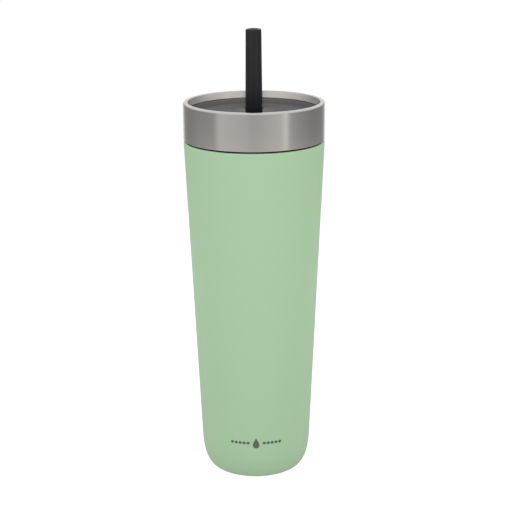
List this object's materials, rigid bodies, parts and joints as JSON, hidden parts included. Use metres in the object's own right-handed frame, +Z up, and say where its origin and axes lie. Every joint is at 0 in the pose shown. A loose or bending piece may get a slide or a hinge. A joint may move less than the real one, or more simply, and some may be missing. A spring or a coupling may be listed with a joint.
{
  "type": "insulated straw tumbler",
  "caption": "Vacuum-insulated steel straw tumbler: tapered sage-green body, screw-on lid with a brushed steel band and recessed black top, black pull-out straw.",
  "frame": {"origin": "centre of the foot on the surface the tumbler stands on", "axes": "+Z up along the tumbler's axis, which is also the screw axis of the lid and the axis the straw pulls out along; -Y is the front, the side with the small plain mark"},
  "size_m": [0.088, 0.088, 0.285],
  "materials": {
    "sage_paint": "satin powder coat, sage green",
    "bare_steel": "turned and lightly polished stainless steel",
    "band_steel": "brushed round the band",
    "aluminium_foil": "foil",
    "getter_alloy": "sintered grey pellet",
    "sealing_glass": "fused bead",
    "lid_plastic": "satin black",
    "straw_plastic": "satin black",
    "silicone": "matt black silicone"
  },
  "bodies": {
    "vessel": {"outer_shell": "sage_paint", "inner_liner": "bare_steel", "liner_bottom": "bare_steel", "liner_foil": "aluminium_foil", "getter_holder": "bare_steel", "getter": "getter_alloy", "shell_bottom": "bare_steel", "vacuum_plug": "sealing_glass", "base_disc": "sage_paint"},
    "gasket": {"lid_gasket": "silicone"},
    "grommet": {"straw_grommet": "silicone"},
    "lid": {"lid_ring": "band_steel", "lid_top": "lid_plastic", "lid_base": "lid_plastic", "vent_valve": "silicone"},
    "straw": {"mouthpiece": "straw_plastic", "straw_tube": "straw_plastic"}
  },
  "joints": [
    {"name": "lid_lift", "type": "slide", "parent": "vessel", "child": "gasket", "axis": [0, 0, 1], "range_m": [0, 0.215]},
    {"name": "lid_rise", "type": "slide", "parent": "gasket", "child": "grommet", "axis": [0, 0, 1], "range_m": [0, 0.0067]},
    {"name": "lid_turn", "type": "hinge", "parent": "grommet", "child": "lid", "pos_m": [0, 0, 0.2167], "axis": [0, 0, 1], "range_deg": [0, 300]},
    {"name": "straw_pull", "type": "slide", "parent": "lid", "child": "straw", "axis": [0, 0, 1], "range_m": [0, 0.232]}
  ],
  "couplings": [
    {"joint": "lid_rise", "follows": "lid_turn", "m_per_rad": 0.0012732}
  ]
}
